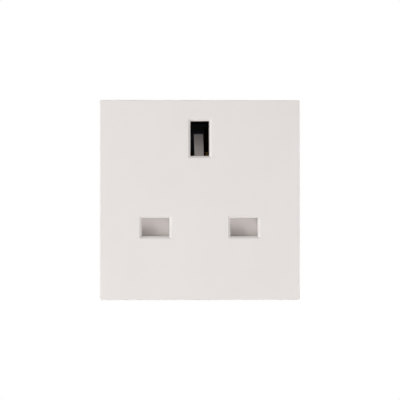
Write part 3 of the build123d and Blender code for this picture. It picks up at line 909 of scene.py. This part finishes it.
@dataclass
class Lamp:
    """One soft area lamp that faces the module; lengths in metres, power in watts."""

    name: str
    place: tuple[float, float, float]
    side: float
    power: float

    def build(self) -> None:
        """Hang the lamp and aim it at the middle of the module."""
        light = bpy.data.lights.new(self.name, "AREA")
        light.shape = "DISK"
        light.size = self.side
        light.energy = self.power
        lamp = bpy.data.objects.new(self.name, light)
        lamp.location = self.place
        lamp.rotation_euler = (-Vector(self.place)).to_track_quat("-Z", "Y").to_euler()
        bpy.context.scene.collection.objects.link(lamp)


@dataclass
class Studio:
    """White sweep, soft light and a long lens almost square to the face; lengths in metres."""

    lens_mm: float = 200.0
    sensor_mm: float = 36.0
    camera_turn_deg: float = -2.3
    face_share: float = 0.5
    face_side: float = 0.05
    floor_z: float = -0.065
    floor_radius: float = 0.6
    fade_start: float = 0.09
    fade_end: float = 0.16
    floor_colour: str = "#F4F4F3"
    floor_lift: float = 0.12
    ambient: float = 0.3
    lamps: tuple[Lamp, ...] = (
        Lamp("left", (-0.45, -0.30, 0.0), 0.45, 2.0),
        Lamp("low_right", (0.33, -0.33, -0.33), 0.45, 1.08),
        Lamp("low", (0.0, -0.53, -0.34), 0.3, 0.46),
        Lamp("right", (0.27, -0.53, -0.18), 0.3, 0.28),
        Lamp("top", (0.12, 0.05, 0.75), 0.5, 1.4),
        Lamp("rear_left", (-0.50, 0.35, 0.20), 0.45, 0.5),
        Lamp("rear_right", (0.50, 0.35, 0.20), 0.45, 2.5),
    )

    def build(self) -> None:
        """Set the colour management and build the camera, the world, the floor and the lamps."""
        bpy.context.scene.view_settings.view_transform = "Standard"
        self.camera()
        self.world()
        self.floor()
        for lamp in self.lamps:
            lamp.build()

    def camera(self) -> None:
        """Stand the camera a little to the left, where the face fills its share of a square picture."""
        data = bpy.data.cameras.new("camera")
        data.lens = self.lens_mm
        data.sensor_width = self.sensor_mm
        camera = bpy.data.objects.new("camera", data)
        distance = self.face_side / self.face_share * self.lens_mm / self.sensor_mm
        turn = math.radians(self.camera_turn_deg)
        camera.location = (distance * math.sin(turn), -distance * math.cos(turn), 0)
        camera.rotation_euler = (math.pi / 2, 0, turn)
        bpy.context.scene.collection.objects.link(camera)
        bpy.context.scene.camera = camera

    @staticmethod
    def seen_directly(tree: bpy.types.NodeTree) -> bpy.types.NodeSocket:
        """Tell the rays that show a backdrop from those that carry its light.

        Args:
            tree: Tree that gets the nodes.

        Returns:
            A socket that is 1 for camera, glossy and transmission rays.
        """
        ray = add_node(tree, "ShaderNodeLightPath").outputs
        mirror = add_node(tree, "ShaderNodeMath", {"operation": "MAXIMUM"},
                          {0: ray["Is Camera Ray"], 1: ray["Is Glossy Ray"]})
        clear = add_node(tree, "ShaderNodeMath", {"operation": "MAXIMUM"},
                         {0: mirror.outputs[0], 1: ray["Is Transmission Ray"]})
        return clear.outputs[0]

    def world(self) -> None:
        """Make the world a white backdrop that lights the module from all round at a plain level."""
        world = bpy.data.worlds.new("white_sweep")
        world.use_nodes = True
        tree = world.node_tree
        tree.nodes.clear()
        light = add_node(tree, "ShaderNodeBackground", {"Color": WHITE, "Strength": self.ambient})
        white = add_node(tree, "ShaderNodeBackground", {"Color": WHITE, "Strength": 1.0})
        both = add_node(tree, "ShaderNodeMixShader",
                        links={0: self.seen_directly(tree), 1: light.outputs[0], 2: white.outputs[0]})
        add_node(tree, "ShaderNodeOutputWorld", links={"Surface": both.outputs[0]})
        bpy.context.scene.world = world

    def floor(self) -> Piece:
        """Lay a pale floor that keeps the module's shadow and fades to white around it.

        Returns:
            The floor.
        """
        shape = bmesh.new()
        bmesh.ops.create_circle(shape, cap_ends=True, segments=FLOOR_SEGMENTS, radius=self.floor_radius,
                                matrix=Matrix.Translation((0, 0, self.floor_z)))
        mesh = bpy.data.meshes.new("floor")
        shape.to_mesh(mesh)
        shape.free()
        floor = new_piece("floor", mesh)
        # Three lamps stand low, so the floor lets the light from below through.
        floor.visible_shadow = False
        floor.visible_diffuse = False
        material = bpy.data.materials.new("pale_paper")
        material.use_nodes = True
        tree = material.node_tree
        tree.nodes.clear()
        place = add_node(tree, "ShaderNodeTexCoord").outputs["Object"]
        flat = add_node(tree, "ShaderNodeVectorMath", {"operation": "MULTIPLY", 1: (1, 1, 0)}, {0: place})
        away = add_node(tree, "ShaderNodeVectorMath", {"operation": "LENGTH"}, {0: flat.outputs[0]})
        fade = add_node(tree, "ShaderNodeMapRange",
                        {"interpolation_type": "SMOOTHSTEP", "From Min": self.fade_start,
                         "From Max": self.fade_end}, {"Value": away.outputs["Value"]})
        direct = self.seen_directly(tree)
        shown = add_node(tree, "ShaderNodeMath", {"operation": "MULTIPLY"}, {0: fade.outputs[0], 1: direct})
        lifted = add_node(tree, "ShaderNodeMath", {"operation": "MULTIPLY", 1: self.floor_lift}, {0: direct})
        paper = add_node(tree, "ShaderNodeBsdfDiffuse", {"Color": linear(self.floor_colour)})
        glow = add_node(tree, "ShaderNodeEmission", {"Color": WHITE}, {"Strength": lifted.outputs[0]})
        near = add_node(tree, "ShaderNodeAddShader", links={0: paper.outputs[0], 1: glow.outputs[0]})
        white = add_node(tree, "ShaderNodeEmission", {"Color": WHITE, "Strength": 1.0})
        both = add_node(tree, "ShaderNodeMixShader",
                        links={0: shown.outputs[0], 1: near.outputs[0], 2: white.outputs[0]})
        # From below the floor is clear, so that the underside of the module can be looked at.
        under = add_node(tree, "ShaderNodeNewGeometry").outputs["Backfacing"]
        clear = add_node(tree, "ShaderNodeBsdfTransparent")
        sheet = add_node(tree, "ShaderNodeMixShader",
                         links={0: under, 1: both.outputs[0], 2: clear.outputs[0]})
        add_node(tree, "ShaderNodeOutputMaterial", links={"Surface": sheet.outputs[0]})
        return dress(floor, material)


def main() -> None:
    """Build, dress and light the module."""
    logging.basicConfig(level=logging.INFO, format="%(name)s: %(message)s")
    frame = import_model()
    travel = next(joint["range_m"][1] for joint in frame["joints"] if joint["name"] == SHUTTER_JOINT)
    palette = Palette()
    Studio().build()
    for assembly in (FrontPlate(), ShutterSet(travel), ContactSet(), TerminalSet(), RearHousing()):
        for piece in assembly.build(frame["nodes"], palette):
            LOG.info("%s: %s", type(assembly).__name__, piece.name)


if __name__ == "__main__":
    main()
